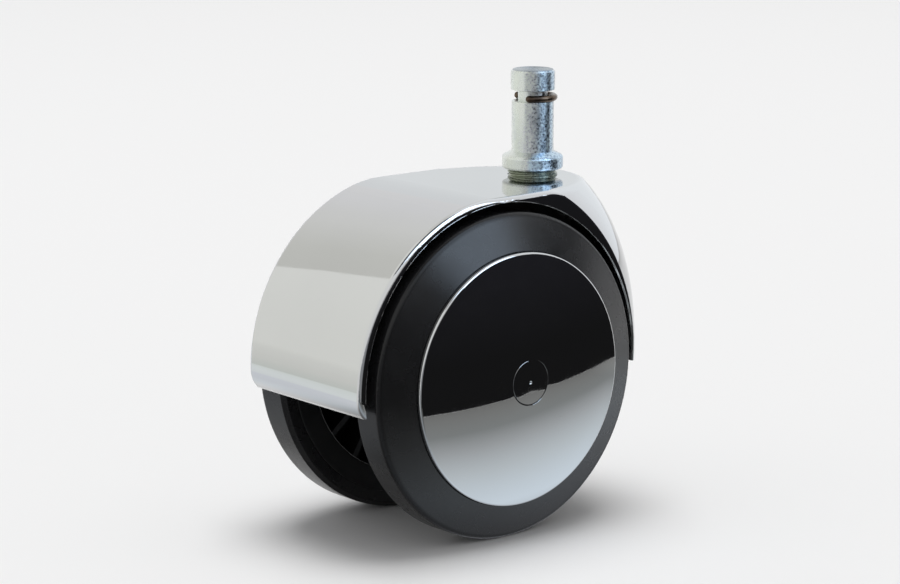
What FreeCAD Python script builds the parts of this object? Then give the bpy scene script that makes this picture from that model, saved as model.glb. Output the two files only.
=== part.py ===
"""Hooded swivel castor with twin wheels and a grip-ring stem.

Frame: Z is the swivel axis, upward, with z = 0 where the stem's barrel meets its collar.
X points forward, so the wheels trail on the -X side, and the axle lies along Y.
All sizes are in millimetres. "Left" is +Y and "right" is -Y.
"""
import FreeCAD, Part
import math
import os

from FreeCAD import Matrix, Placement, Rotation, Vector

# Stem: a turned steel pin with a grooved head above the collar and a bearing journal below it
HEAD_R = 5.5
HEAD_H = 5.05
HEAD_TOP_CHAMFER = 0.5
STEM_EDGE = 0.2
BARREL_R = 5.25
BARREL_H = 12.5
RING_GROOVE_R = 3.7
RING_GROOVE_W = 2.8
COLLAR_R = 7.6
COLLAR_CHAMFER = 0.5
COLLAR_SHOULDER_DROP = 0.9
COLLAR_H = 4.4
COLLAR_ROUND = 0.7
JOURNAL_R = 4.5
JOURNAL_END_ROUND = 1.2
STEM_TIP_PAST_CLIP = 1.9

# Grip ring: a split wire ring that stands proud of the barrel until a socket squeezes it
GRIP_WIRE_R = 0.85
GRIP_ROOM = 0.45
GRIP_LIFT = 0.05
GRIP_OFFSET = 0.3
GRIP_OFFSET_DEG = -39.5
GRIP_START_DEG = 214.5
GRIP_SWEEP_DEG = 249.0

# Swivel bearing: a threaded steel bush above, a flanged plastic bush, a washer and a clip below
BUSH_THREAD_R = 6.2
BUSH_THREAD_ROOT_R = 5.75
BUSH_PROUD = 1.6
BUSH_INSERT = 12.0
LOWER_BUSH_R = 6.4
LOWER_BUSH_LEN = 13.0
LOWER_FLANGE_R = 8.0
LOWER_FLANGE_T = 1.5
STEM_WASHER_R = 7.4
STEM_WASHER_T = 0.8
STEM_CLIP_R = 6.6
STEM_CLIP_T = 1.0
STEM_CLIP_GROOVE_DEPTH = 0.9
STEM_END_PLAY = 0.15

# Running and fitting clearances, each on the radius
SHAFT_CLEARANCE = 0.05
FIT_CLEARANCE = 0.02
SEAT_CLEARANCE = 0.1

# Axle and the wheel bearings
AXLE_TRAIL = 27.8
AXLE_R = 4.0
AXLE_CHAMFER = 0.6
AXLE_PAST_CLIP = 0.9
AXLE_CLIP_R = 6.4
AXLE_CLIP_T = 0.8
AXLE_CLIP_GROOVE_DEPTH = 0.7
CLIP_SLOT_SHARE = 0.72
WHEEL_BUSH_R = 5.5
WASHER_R = 7.4
WASHER_T = 0.6
WHEEL_END_PLAY = 0.2

# Wheel: ribbed hub, soft tyre over its rim and outer face, domed cap over the axle end
WHEEL_R = 40.0
TYRE_INSET = 0.4
TYRE_BEVEL = 1.0
RIM_TO_SHOULDER = 9.3
SHOULDER_ROUND = 1.3
TREAD_T = 4.0
RIM_T = 5.6
RIM_KEY_H = 1.0
RIM_KEY_W = 2.6
RIM_TO_KEY = 4.4
TYRE_FACE_T = 2.0
FACE_RISE = 3.7
HUB_BOSS_R = 9.0
HUB_BOSS_L = 12.6
HUB_BOSS_LEAD = 2.0
WEB_T = 2.4
MID_RING_R = 18.5
MID_RING_T = 1.6
RIB_T = 1.5
RIB_SETBACK = 1.5
OUTER_RIBS = 20
INNER_RIBS = 10
MOULD_EDGE = 0.2

# Cap
CAP_R = 30.9
CAP_EDGE_T = 1.1
CAP_EDGE_ROUND = 0.55
CAP_T = 1.9
CAP_CROWN_H = 3.6
CAP_OVERHANG = 2.7
CAP_SKIRT_T = 1.5
CAP_SKIRT_LEN = 2.6
CAP_SKIRT_ROOM = 0.4
CAP_BEAD = 0.25
GATE_RING_R = 5.5
GATE_RING_W = 0.36
GATE_RING_D = 0.06
GATE_DIMPLE_R = 0.5

# Hood: a chrome-plated shell whose opening is a circle about the axle
HOOD_SIDE_INSET = 1.3
HOOD_WALL = 2.0
WHEEL_ROOM = 2.1
HOOD_TOP_CUT = 0.6
BLEND_START_DEG = 110.0
TRAIL_END_DEG = 186.0
LIP_START_DEG = 180.0
LIP_END_WALL = 0.3
LEAD_END_DROP = 2.5
NOSE_TOP_LAND = 4.3
NOSE_LOW_WALL = 5.1
NOSE_R = 41.0
NOSE_BULGE = 1.0
SIDE_TOP_BACK = 22.9
SIDE_LOW_WALL = 0.55
SIDE_EDGE_R = 48.5
NOSE_LEVELS = 7
NOSE_TAIL = 2.0
HOOD_BROW_ROUND = 3.0
HOOD_EDGE_ROUND = 1.2
OPENING_BEVEL = 0.25

# Frame: the moulded web inside the hood that carries the stem's socket and the axle
SOCKET_R = 9.5
SOCKET_L = 31.0
SOCKET_RELIEF_R = 5.4
AXLE_BOSS_R = 9.0
AXLE_BOSS_HALF_W = 11.2
FRAME_WEB_HALF_T = 1.6
FRAME_RIB_HALF_W = 8.5
FRAME_RIB_T = 2.0
FLANGE_T = 2.8
FLANGE_SIDE_ROOM = 2.0
FLANGE_START_DEG = 66.0
FLANGE_END_DEG = 150.0
FRAME_RIB_DEGS = (84.0, 100.0, 117.0, 133.0, 149.0)
WEB_LOW_DEG = -62.0
WEB_BACK_DEG = 205.0
NOSE_RIB_DROP = 6.0
NOSE_RIB_L = 19.0

# Screws between frame and hood
SCREW_DEGS = (108.5, 141.0)
SCREW_Y = 7.2
SCREW_BOSS_R = 3.0
SCREW_SKIN = 1.0
SCREW_HEAD_R = 4.3
SCREW_HEAD_T = 0.8
SCREW_DOME_R = 2.8
SCREW_DOME_H = 1.5
SCREW_SHANK_R = 1.1
SCREW_TIP_ROOM = 0.5
SCREW_SPOT_DEPTH = 0.3
SCREW_RECESS_W = 0.7
SCREW_RECESS_L = 2.8
SCREW_RECESS_D = 1.0

# Outlines: the most of a side that one corner's rounding takes, and the distance of equal points
ROUND_SIDE_SHARE = 0.48
SAME_POINT = 1e-6

# Places worked out from the sizes above
HEAD_BOTTOM_Z = BARREL_H + RING_GROOVE_W
HEAD_TOP_Z = HEAD_BOTTOM_Z + HEAD_H
GRIP_RING_R = RING_GROOVE_R + GRIP_WIRE_R + GRIP_ROOM
COLLAR_SHOULDER_R = COLLAR_R - COLLAR_CHAMFER
COLLAR_BOTTOM_Z = -COLLAR_H
OPENING_R = WHEEL_R + WHEEL_ROOM
HOOD_OUTER_R = OPENING_R + HOOD_WALL
HOOD_TOP_Z = COLLAR_BOTTOM_Z - BUSH_PROUD
AXLE_X = -AXLE_TRAIL
AXLE_Z = HOOD_TOP_Z + HOOD_TOP_CUT - HOOD_OUTER_R
RIM_R = WHEEL_R - TREAD_T
RIM_BORE_R = RIM_R - RIM_T
CAP_SKIRT_R = CAP_R - CAP_OVERHANG
SOCKET_BOTTOM_Z = HOOD_TOP_Z - SOCKET_L
LOWER_FLANGE_Z = SOCKET_BOTTOM_Z - LOWER_FLANGE_T
STEM_WASHER_Z = LOWER_FLANGE_Z - STEM_END_PLAY
STEM_CLIP_Z = STEM_WASHER_Z - STEM_WASHER_T
STEM_TIP_Z = STEM_CLIP_Z - STEM_CLIP_T - STEM_TIP_PAST_CLIP
HUB_INNER_Y = AXLE_BOSS_HALF_W + WASHER_T + WHEEL_END_PLAY
HUB_BOSS_END_Y = HUB_INNER_Y + HUB_BOSS_L
OUTER_WASHER_Y = HUB_BOSS_END_Y + WHEEL_END_PLAY
AXLE_CLIP_Y = OUTER_WASHER_Y + WASHER_T
AXLE_END_Y = AXLE_CLIP_Y + AXLE_CLIP_T + AXLE_PAST_CLIP
RIM_INNER_Y = HUB_INNER_Y + HUB_BOSS_LEAD
RIB_INNER_Y = RIM_INNER_Y + RIB_SETBACK
SHOULDER_Y = RIM_INNER_Y + RIM_TO_SHOULDER
CAP_SEAT_Y = SHOULDER_Y + FACE_RISE
WEB_OUTER_Y = CAP_SEAT_Y - CAP_SKIRT_LEN - CAP_SKIRT_ROOM
WEB_INNER_Y = WEB_OUTER_Y - WEB_T
COLLAR_RING_Y = CAP_SEAT_Y - SEAT_CLEARANCE
CAP_EDGE_Y = CAP_SEAT_Y + CAP_EDGE_T
CAP_BEAD_Y = CAP_SEAT_Y - CAP_SKIRT_LEN + 2 * CAP_BEAD
FACE_SLOPE = math.atan2(FACE_RISE, WHEEL_R - CAP_R)
HOOD_HALF_W = SHOULDER_Y - HOOD_SIDE_INSET
LEAD_END_Z = AXLE_Z - LEAD_END_DROP
SADDLE_R = OPENING_R - SEAT_CLEARANCE
FLANGE_HALF_W = RIM_INNER_Y - FLANGE_SIDE_ROOM
SCREW_SEAT_R = SADDLE_R - FLANGE_T + SCREW_SPOT_DEPTH
SCREW_BOSS_END_R = SCREW_SEAT_R + SEAT_CLEARANCE
SCREW_PILOT_END_R = HOOD_OUTER_R - SCREW_SKIN
SCREW_SHANK_L = SCREW_PILOT_END_R - SCREW_TIP_ROOM - SCREW_SEAT_R


def corner_wire(corners, place):
    """Close a wire through corners (u, v, round), with a tangent arc at each rounded corner."""
    count = len(corners)
    edges = []
    starts = []
    ends = []
    middles = []
    for i, (u, v, radius) in enumerate(corners):
        here = Vector(u, v, 0)
        before = Vector(*corners[i - 1][:2], 0) - here
        after = Vector(*corners[(i + 1) % count][:2], 0) - here
        half = before.getAngle(after) / 2
        most = ROUND_SIDE_SHARE * min(before.Length, after.Length)
        reach = min(radius / math.tan(half), most)
        if radius <= 0:
            starts.append(here)
            ends.append(here)
            middles.append(None)
            continue
        arm_in = before.normalize()
        arm_out = after.normalize()
        bisector = (arm_in + arm_out).normalize()
        actual = reach * math.tan(half)
        starts.append(here + arm_in * reach)
        ends.append(here + arm_out * reach)
        middles.append(here + bisector * (actual / math.sin(half) - actual))
    for i in range(count):
        if middles[i] is not None:
            arc = Part.Arc(*(place(p.x, p.y) for p in (starts[i], middles[i], ends[i])))
            edges.append(arc.toShape())
        following = (i + 1) % count
        if (ends[i] - starts[following]).Length > SAME_POINT:
            line_ends = (ends[i], starts[following])
            edges.append(Part.LineSegment(*(place(p.x, p.y) for p in line_ends)).toShape())
    return Part.Wire(edges)


def turned(corners):
    """Revolve a profile of (radius, height, round) corners about Z."""
    wire = corner_wire(corners, lambda r, z: Vector(r, 0, z))
    return Part.Face(wire).revolve(Vector(0, 0, 0), Vector(0, 0, 1), 360)


def ring(inner_r, outer_r, low, high):
    """A plain ring about Z."""
    corners = [(inner_r, low, 0), (outer_r, low, 0), (outer_r, high, 0), (inner_r, high, 0)]
    return turned(corners)


def plate(corners, half_width):
    """Extrude an outline in X and Z to half_width each side of the centre plane."""
    wire = corner_wire(corners, lambda x, z: Vector(x, -half_width, z))
    return Part.Face(wire).extrude(Vector(0, 2 * half_width, 0))


def axle_cylinder(radius, half_width):
    """A cylinder along the wheel axis, centred on the middle plane."""
    start = Vector(AXLE_X, -half_width, AXLE_Z)
    return Part.makeCylinder(radius, 2 * half_width, start, Vector(0, 1, 0))


def polar(radius, degrees, y=0.0):
    """The point at a radius and an angle about the axle, counted from +X towards +Z."""
    angle = math.radians(degrees)
    return Vector(AXLE_X + radius * math.cos(angle), y, AXLE_Z + radius * math.sin(angle))


def polar_arc(radius, start_deg, end_deg, y):
    """An arc about the axle in a plane of constant y."""
    middle = polar(radius, (start_deg + end_deg) / 2, y)
    return Part.Arc(polar(radius, start_deg, y), middle, polar(radius, end_deg, y)).toShape()


def on_side(shape, side):
    """Move a wheel piece modelled about Z, outward up, to the left (+1) or right (-1) wheel."""
    placed = shape.copy()
    placed.rotate(Vector(0, 0, 0), Vector(1, 0, 0), -90 * side)
    placed.translate(Vector(AXLE_X, 0, AXLE_Z))
    return placed


def stem():
    """Turned stem: chamfered head, ring groove, barrel, collar, journal and clip groove."""
    clip_r = JOURNAL_R - STEM_CLIP_GROOVE_DEPTH
    clip_bottom = STEM_CLIP_Z - STEM_CLIP_T
    return turned([
        (0, STEM_TIP_Z, 0),
        (JOURNAL_R, STEM_TIP_Z, JOURNAL_END_ROUND),
        (JOURNAL_R, clip_bottom, 0),
        (clip_r, clip_bottom, 0),
        (clip_r, STEM_CLIP_Z, 0),
        (JOURNAL_R, STEM_CLIP_Z, 0),
        (JOURNAL_R, COLLAR_BOTTOM_Z, 0),
        (COLLAR_R, COLLAR_BOTTOM_Z, COLLAR_ROUND),
        (COLLAR_R, -COLLAR_SHOULDER_DROP - COLLAR_CHAMFER, COLLAR_ROUND),
        (COLLAR_SHOULDER_R, -COLLAR_SHOULDER_DROP, COLLAR_ROUND),
        (BARREL_R, 0, 0),
        (BARREL_R, BARREL_H, STEM_EDGE),
        (RING_GROOVE_R, BARREL_H, 0),
        (RING_GROOVE_R, HEAD_BOTTOM_Z, 0),
        (HEAD_R, HEAD_BOTTOM_Z, STEM_EDGE),
        (HEAD_R, HEAD_TOP_Z - HEAD_TOP_CHAMFER, 0),
        (HEAD_R - HEAD_TOP_CHAMFER, HEAD_TOP_Z, 0),
        (0, HEAD_TOP_Z, 0),
    ])


def grip_ring():
    """Split wire ring seated on the barrel's top edge, with rounded wire ends."""
    centre = Vector(0, 0, BARREL_H + GRIP_LIFT + GRIP_WIRE_R)
    shift = math.radians(GRIP_OFFSET_DEG)
    centre += Vector(math.cos(shift), math.sin(shift), 0) * GRIP_OFFSET
    start = Vector(GRIP_RING_R, 0, 0)
    circle = Part.makeCircle(GRIP_WIRE_R, start, Vector(0, 1, 0))
    wire = Part.Face(Part.Wire([circle]))
    solid = wire.revolve(Vector(0, 0, 0), Vector(0, 0, 1), GRIP_SWEEP_DEG)
    first_end = Part.makeSphere(GRIP_WIRE_R, start)
    last = Rotation(Vector(0, 0, 1), GRIP_SWEEP_DEG).multVec(start)
    solid = solid.fuse([first_end, Part.makeSphere(GRIP_WIRE_R, last)]).removeSplitter()
    solid.rotate(Vector(0, 0, 0), Vector(0, 0, 1), GRIP_START_DEG)
    solid.translate(centre)
    return solid


def swivel_bush():
    """Threaded steel bush: its proud end shows one crest below the stem's collar."""
    bore = JOURNAL_R + SHAFT_CLEARANCE
    crest_z = COLLAR_BOTTOM_Z - BUSH_PROUD / 2
    bottom = COLLAR_BOTTOM_Z - BUSH_PROUD - BUSH_INSERT
    return turned([
        (bore, COLLAR_BOTTOM_Z, 0),
        (BUSH_THREAD_ROOT_R, COLLAR_BOTTOM_Z, 0),
        (BUSH_THREAD_R, crest_z + STEM_EDGE / 2, STEM_EDGE / 2),
        (BUSH_THREAD_R, crest_z - STEM_EDGE / 2, STEM_EDGE / 2),
        (BUSH_THREAD_ROOT_R, HOOD_TOP_Z + STEM_EDGE, 0),
        (BUSH_THREAD_R, HOOD_TOP_Z - STEM_EDGE, 0),
        (BUSH_THREAD_R, bottom, STEM_EDGE),
        (bore, bottom, STEM_EDGE),
    ])


def lower_bush():
    """Flanged plastic bush pushed up into the socket's lower end."""
    bore = JOURNAL_R + SHAFT_CLEARANCE
    top = SOCKET_BOTTOM_Z + LOWER_BUSH_LEN
    return turned([
        (bore, LOWER_FLANGE_Z, STEM_EDGE),
        (LOWER_FLANGE_R, LOWER_FLANGE_Z, STEM_EDGE),
        (LOWER_FLANGE_R, SOCKET_BOTTOM_Z, 0),
        (LOWER_BUSH_R, SOCKET_BOTTOM_Z, 0),
        (LOWER_BUSH_R, top, STEM_EDGE),
        (bore, top, STEM_EDGE),
    ])


def retaining_clip(groove_r, outer_r, thickness):
    """E-clip about Z from z = 0 down: open at one side, gripping the groove at three points."""
    grip_r = groove_r + FIT_CLEARANCE
    relief_r = (grip_r + outer_r) / 2
    slot = 2 * grip_r * CLIP_SLOT_SHARE
    body = Part.makeCylinder(outer_r, thickness, Vector(0, 0, -thickness))
    hole = Part.makeCylinder(grip_r, thickness, Vector(0, 0, -thickness))
    opening = Part.makeBox(outer_r, slot, thickness, Vector(0, -slot / 2, -thickness))
    body = body.cut([hole, opening])
    lobe_r = relief_r - grip_r
    for degrees in (120, 240):
        angle = math.radians(degrees)
        centre = Vector(grip_r * math.cos(angle), grip_r * math.sin(angle), -thickness)
        body = body.cut(Part.makeCylinder(lobe_r, thickness, centre))
    return body


def front_ellipse(side_x, tip_x, half_w, z):
    """Front of an ellipse in plan, a little wider than the hood, so a crease parts it from the sides."""
    side_r = half_w + NOSE_BULGE
    start = math.acos(half_w / side_r)
    front_r = (tip_x - side_x) / (1 - math.sin(start))
    right, left = (Vector(math.sin(start), side * math.cos(start), 0) for side in (-1, 1))
    scaling = Matrix()
    scaling.scale(front_r, side_r, 1)
    scaling.move(Vector(side_x - front_r * math.sin(start), 0, z))
    return Part.Arc(right, Vector(1, 0, 0), left).toShape().transformGeometry(scaling)


def front_arc(top_x, low_x, radius, inset):
    """How far forward an arc through the hood's top and leading end reaches at a height z."""
    chord = Vector(low_x - top_x, 0, LEAD_END_Z - HOOD_TOP_Z)
    middle = Vector(top_x, 0, HOOD_TOP_Z) + chord / 2
    inward = Vector(chord.z, 0, -chord.x).normalize()
    centre = middle + inward * math.sqrt(radius ** 2 - (chord.Length / 2) ** 2)
    return lambda z: centre.x + math.sqrt((radius - inset) ** 2 - (z - centre.z) ** 2)


def hood_nose(inset):
    """Loft of the hood in plan: straight sides and an elliptical front at each level."""
    half_w = HOOD_HALF_W - inset
    back = AXLE_X - HOOD_OUTER_R - HOOD_HALF_W
    opening_front = AXLE_X + OPENING_R
    top_x = BUSH_THREAD_R + NOSE_TOP_LAND
    tip_at = front_arc(top_x, opening_front + NOSE_LOW_WALL, NOSE_R, inset)
    side_at = front_arc(top_x - SIDE_TOP_BACK, opening_front + SIDE_LOW_WALL, SIDE_EDGE_R, inset)
    top = HOOD_TOP_Z - inset
    step = (top - LEAD_END_Z + NOSE_TAIL) / (NOSE_LEVELS - 1)
    sections = []
    for level in range(NOSE_LEVELS):
        z = top - level * step
        side_x = side_at(z)
        front = front_ellipse(side_x, tip_at(z), half_w, z)
        left = Vector(side_x, half_w, z)
        far_left = Vector(back, half_w, z)
        far_right = Vector(back, -half_w, z)
        right = Vector(side_x, -half_w, z)
        sides = [
            Part.LineSegment(right, far_right).toShape(),
            Part.LineSegment(far_right, far_left).toShape(),
            Part.LineSegment(far_left, left).toShape(),
        ]
        sections.append(Part.Wire([front] + sides))
    return Part.makeLoft(sections, True, False)


def hood_profile(inset):
    """Side outline of the hood: trailing arc with its turned-in lip, blend arc and flat top."""
    y = -HOOD_HALF_W - HOOD_WALL
    outer_r = HOOD_OUTER_R - inset
    top = HOOD_TOP_Z - inset
    blend_start = polar(outer_r, BLEND_START_DEG, y)
    turn = math.radians(BLEND_START_DEG - 90)
    blend_r = (top - blend_start.z) / (1 - math.cos(turn))
    blend_end = Vector(blend_start.x + blend_r * math.sin(turn), y, top)
    blend_mid = Vector(
        blend_end.x - blend_r * math.sin(turn / 2), y, top - blend_r * (1 - math.cos(turn / 2))
    )
    lip_end = polar(OPENING_R + LIP_END_WALL, TRAIL_END_DEG, y)
    lip_start = polar(outer_r, LIP_START_DEG, y)
    lip_drop = (outer_r - OPENING_R - LIP_END_WALL) / 4
    lip_mid = polar(outer_r - lip_drop, (LIP_START_DEG + TRAIL_END_DEG) / 2, y)
    front = Vector(HOOD_OUTER_R, y, top)
    front_low = Vector(HOOD_OUTER_R, y, LEAD_END_Z)
    back_low = Vector(AXLE_X, y, LEAD_END_Z)
    edges = [
        Part.Arc(lip_end, lip_mid, lip_start).toShape(),
        polar_arc(outer_r, LIP_START_DEG, BLEND_START_DEG, y),
        Part.Arc(blend_start, blend_mid, blend_end).toShape(),
        Part.LineSegment(blend_end, front).toShape(),
        Part.LineSegment(front, front_low).toShape(),
        Part.LineSegment(front_low, back_low).toShape(),
        Part.LineSegment(back_low, lip_end).toShape(),
    ]
    return Part.Face(Part.Wire(edges)).extrude(Vector(0, -2 * y, 0))


def hood_outside():
    """The hood's outer form, rounded between its top and nose and along both sides."""
    solid = hood_profile(0).common(hood_nose(0))
    brow = [
        edge for edge in solid.Edges
        if edge.BoundBox.YLength > HOOD_HALF_W and edge.BoundBox.XMax > 0
        and edge.BoundBox.ZMin > HOOD_TOP_Z - HOOD_EDGE_ROUND
    ]
    solid = solid.makeFillet(HOOD_BROW_ROUND, brow)
    sides = [
        edge for edge in solid.Edges
        if edge.BoundBox.YLength < HOOD_EDGE_ROUND
        and max(-edge.BoundBox.YMin, edge.BoundBox.YMax) > HOOD_HALF_W - HOOD_EDGE_ROUND
        and edge.BoundBox.ZMax > LEAD_END_Z + HOOD_EDGE_ROUND
    ]
    return solid.makeFillet(HOOD_EDGE_ROUND, sides)


def wheel_opening():
    """The space cut through the hood about the axle, bevelled where it meets the hood's two sides."""
    straight = HOOD_HALF_W - OPENING_BEVEL
    far = HOOD_HALF_W + HOOD_WALL
    wide_r = OPENING_R + far - straight
    return on_side(turned([
        (0, -far, 0),
        (wide_r, -far, 0),
        (OPENING_R, -straight, 0),
        (OPENING_R, straight, 0),
        (wide_r, far, 0),
        (0, far, 0),
    ]), 1)


def hood():
    """Chrome-plated hood: nose and trailing band in one shell, hollow and open to the wheels."""
    outer = hood_outside()
    cavity = hood_profile(HOOD_WALL).common(hood_nose(HOOD_WALL))
    shell = outer.cut(cavity).cut(wheel_opening())
    boss = Part.makeCylinder(SCREW_BOSS_R, OPENING_R + HOOD_WALL / 2 - SCREW_BOSS_END_R)
    pilot_r = SCREW_SHANK_R + SHAFT_CLEARANCE
    pilot = Part.makeCylinder(pilot_r, SCREW_PILOT_END_R - SCREW_BOSS_END_R)
    hole_low = Vector(0, 0, HOOD_TOP_Z - 2 * HOOD_WALL)
    hole = Part.makeCylinder(BUSH_THREAD_R + FIT_CLEARANCE, 2 * HOOD_WALL, hole_low)
    shell = shell.fuse(at_screws(boss, SCREW_BOSS_END_R))
    return shell.cut(at_screws(pilot, SCREW_BOSS_END_R) + [hole])


def at_screws(shape, radius):
    """Copies of a shape modelled about Z, turned to point outward at each screw place."""
    copies = []
    for degrees in SCREW_DEGS:
        for y in (-SCREW_Y, SCREW_Y):
            outward = polar(1, degrees) - polar(0, degrees)
            copy = shape.copy()
            copy.Placement = Placement(polar(radius, degrees, y), Rotation(Vector(0, 0, 1), outward))
            copies.append(copy)
    return copies


def rib(start, end):
    """A straight frame rib between two points of the centre plane."""
    along = (end - start).normalize()
    across = Vector(-along.z, 0, along.x) * (FRAME_RIB_T / 2)
    points = (start - across, end - across, end + across, start + across)
    return plate([(p.x, p.z, 0) for p in points], FRAME_RIB_HALF_W)


def frame_web():
    """The web plate between socket, saddle and axle boss, with its edge ribs and radial ribs."""
    middle_r = SADDLE_R - FLANGE_T / 2
    foot_r = AXLE_BOSS_R - FRAME_RIB_T / 2
    last_deg = FRAME_RIB_DEGS[-1]
    saddle_back = polar(middle_r, last_deg)
    boss_back = polar(foot_r, WEB_BACK_DEG)
    boss_low = polar(foot_r, WEB_LOW_DEG)
    socket_low = Vector(-SOCKET_R + FRAME_RIB_T / 2, 0, SOCKET_BOTTOM_Z + FRAME_RIB_T / 2)
    inside_low = Vector(0, 0, SOCKET_BOTTOM_Z + FRAME_RIB_T)
    inside_top = Vector(0, 0, HOOD_TOP_Z - HOOD_WALL - FRAME_RIB_T)
    saddle_front = polar(middle_r, FLANGE_START_DEG)
    points = (saddle_back, boss_back, boss_low, socket_low, inside_low, inside_top, saddle_front)
    y = -FRAME_WEB_HALF_T
    edges = [polar_arc(middle_r, FLANGE_START_DEG, last_deg, y)]
    for start, end in zip(points, points[1:]):
        ends = [Vector(p.x, y, p.z) for p in (start, end)]
        edges.append(Part.LineSegment(*ends).toShape())
    pieces = [Part.Face(Part.Wire(edges)).extrude(Vector(0, 2 * FRAME_WEB_HALF_T, 0))]
    pieces.append(rib(boss_low, socket_low))
    pieces.append(rib(boss_back, saddle_back))
    for degrees in FRAME_RIB_DEGS[:-1]:
        pieces.append(rib(polar(foot_r, degrees), polar(middle_r, degrees)))
    return pieces


def saddle():
    """The curved flange under the hood that its screws pass through."""
    y = -FLANGE_HALF_W
    inner_r = SADDLE_R - FLANGE_T
    edges = [polar_arc(radius, FLANGE_START_DEG, FLANGE_END_DEG, y) for radius in (inner_r, SADDLE_R)]
    for degrees in (FLANGE_START_DEG, FLANGE_END_DEG):
        ends = (polar(inner_r, degrees, y), polar(SADDLE_R, degrees, y))
        edges.append(Part.LineSegment(*ends).toShape())
    wire = Part.Wire(Part.sortEdges(edges)[0])
    return Part.Face(wire).extrude(Vector(0, 2 * FLANGE_HALF_W, 0))


def socket_column():
    """The stem's socket and the rib between it and the hood's nose, as far as the hood's inside."""
    room = HOOD_WALL + SEAT_CLEARANCE
    base = Vector(0, 0, SOCKET_BOTTOM_Z)
    socket = Part.makeCylinder(SOCKET_R, HOOD_TOP_Z - room - SOCKET_BOTTOM_Z, base)
    rib_top = HOOD_TOP_Z - NOSE_RIB_DROP
    outline = [
        (0, rib_top, 0),
        (HOOD_OUTER_R, rib_top, 0),
        (HOOD_OUTER_R, rib_top - NOSE_RIB_L, 0),
        (0, rib_top - NOSE_RIB_L, 0),
    ]
    return socket.fuse(plate(outline, FRAME_RIB_T / 2)).common(hood_nose(room))


def frame():
    """Moulded frame: stem socket, axle boss and saddle flange on a ribbed web."""
    boss = axle_cylinder(AXLE_BOSS_R, AXLE_BOSS_HALF_W)
    body = socket_column().fuse([boss, saddle()] + frame_web())
    base = Vector(0, 0, SOCKET_BOTTOM_Z)
    bush_depth = Vector(0, 0, HOOD_TOP_Z - BUSH_INSERT)
    spot = Part.makeCylinder(SCREW_HEAD_R + SEAT_CLEARANCE, FLANGE_T, Vector(0, 0, -FLANGE_T))
    bores = [
        Part.makeCylinder(BUSH_THREAD_R + FIT_CLEARANCE, BUSH_INSERT, bush_depth),
        Part.makeCylinder(SOCKET_RELIEF_R, SOCKET_L, base),
        Part.makeCylinder(LOWER_BUSH_R + FIT_CLEARANCE, LOWER_BUSH_LEN, base),
        axle_cylinder(AXLE_R + FIT_CLEARANCE, 2 * AXLE_BOSS_HALF_W),
    ]
    bores += at_screws(spot, SCREW_SEAT_R)
    bores += at_screws(Part.makeCylinder(SCREW_BOSS_R + SEAT_CLEARANCE, FLANGE_T), SCREW_SEAT_R)
    return body.cut(bores).removeSplitter()


def hood_screws():
    """Self-tapping screws with washer heads and cross recesses, one group of separate solids."""
    screw = turned([
        (0, SCREW_SHANK_L, 0),
        (SCREW_SHANK_R, SCREW_SHANK_L - SCREW_SHANK_R, 0),
        (SCREW_SHANK_R, 0, 0),
        (SCREW_HEAD_R, 0, 0),
        (SCREW_HEAD_R, -SCREW_HEAD_T, STEM_EDGE),
        (SCREW_DOME_R, -SCREW_HEAD_T, 0),
        (SCREW_DOME_R, -SCREW_HEAD_T - SCREW_DOME_H, SCREW_DOME_H / 2),
        (0, -SCREW_HEAD_T - SCREW_DOME_H, 0),
    ])
    floor = -SCREW_HEAD_T - SCREW_DOME_H
    for length, width in ((SCREW_RECESS_L, SCREW_RECESS_W), (SCREW_RECESS_W, SCREW_RECESS_L)):
        corner = Vector(-length / 2, -width / 2, floor)
        screw = screw.cut(Part.makeBox(length, width, SCREW_RECESS_D, corner))
    return Part.Compound(at_screws(screw, SCREW_SEAT_R))


def stem_washer():
    """Steel washer between the lower bush and the stem's clip."""
    bottom = STEM_WASHER_Z - STEM_WASHER_T
    return ring(JOURNAL_R + SHAFT_CLEARANCE, STEM_WASHER_R, bottom, STEM_WASHER_Z)


def stem_clip():
    """Clip in the stem's lower groove."""
    clip = retaining_clip(JOURNAL_R - STEM_CLIP_GROOVE_DEPTH, STEM_CLIP_R, STEM_CLIP_T)
    clip.translate(Vector(0, 0, STEM_CLIP_Z))
    return clip


def axle():
    """Steel pin with chamfered ends and a clip groove near each end."""
    groove_r = AXLE_R - AXLE_CLIP_GROOVE_DEPTH
    half = [
        (0, AXLE_END_Y),
        (AXLE_R - AXLE_CHAMFER, AXLE_END_Y),
        (AXLE_R, AXLE_END_Y - AXLE_CHAMFER),
        (AXLE_R, AXLE_CLIP_Y + AXLE_CLIP_T),
        (groove_r, AXLE_CLIP_Y + AXLE_CLIP_T),
        (groove_r, AXLE_CLIP_Y),
        (AXLE_R, AXLE_CLIP_Y),
    ]
    corners = [(r, z, 0) for r, z in half] + [(r, -z, 0) for r, z in reversed(half)]
    return on_side(turned(corners), 1)


def face_y(radius, depth):
    """How far out the wheel's coned face lies at a radius, and depth mm below its surface."""
    return SHOULDER_Y + (WHEEL_R - radius) * math.tan(FACE_SLOPE) - depth / math.cos(FACE_SLOPE)


def key_corners(low_first):
    """The rim's key ring that the tyre is moulded over."""
    low = RIM_INNER_Y + RIM_TO_KEY - RIM_KEY_W / 2
    high = low + RIM_KEY_W
    corners = [
        (RIM_R, low, 0),
        (RIM_R + RIM_KEY_H, low, 0),
        (RIM_R + RIM_KEY_H, high, 0),
        (RIM_R, high, 0),
    ]
    return corners if low_first else corners[::-1]


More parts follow.
